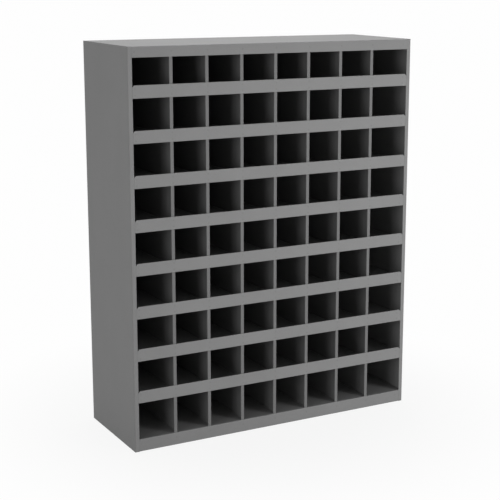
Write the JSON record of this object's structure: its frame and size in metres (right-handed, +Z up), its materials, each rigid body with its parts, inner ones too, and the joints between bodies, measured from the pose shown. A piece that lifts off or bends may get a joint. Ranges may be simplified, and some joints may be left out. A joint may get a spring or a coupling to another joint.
{
  "type": "steel pigeonhole cabinet",
  "caption": "Free-standing welded steel pigeonhole cabinet: an open-fronted case cut by lipped shelves and upright dividers into equal cells for mail, forms or small parts.",
  "frame": {"origin": "middle of the base, on the surface that the cabinet stands on", "axes": "+X to the right along the open front, +Y from the front to the back panel, +Z up; the open front faces -Y"},
  "size_m": [0.8572, 0.3048, 1.0668],
  "materials": {
    "case_enamel": "satin grey powder coat on steel sheet",
    "shelf_enamel": "satin grey powder coat on steel sheet",
    "divider_enamel": "satin grey powder coat on steel sheet"
  },
  "bodies": {
    "root": {"left_side": "case_enamel", "right_side": "case_enamel", "top_pan": "case_enamel", "bottom_pan": "case_enamel", "back_panel": "case_enamel", "shelf_1": "shelf_enamel", "shelf_2": "shelf_enamel", "shelf_3": "shelf_enamel", "shelf_4": "shelf_enamel", "shelf_5": "shelf_enamel", "shelf_6": "shelf_enamel", "shelf_7": "shelf_enamel", "shelf_8": "shelf_enamel", "dividers_row_1": "divider_enamel", "dividers_row_2": "divider_enamel", "dividers_row_3": "divider_enamel", "dividers_row_4": "divider_enamel", "dividers_row_5": "divider_enamel", "dividers_row_6": "divider_enamel", "dividers_row_7": "divider_enamel", "dividers_row_8": "divider_enamel", "dividers_row_9": "divider_enamel"}
  },
  "joints": []
}
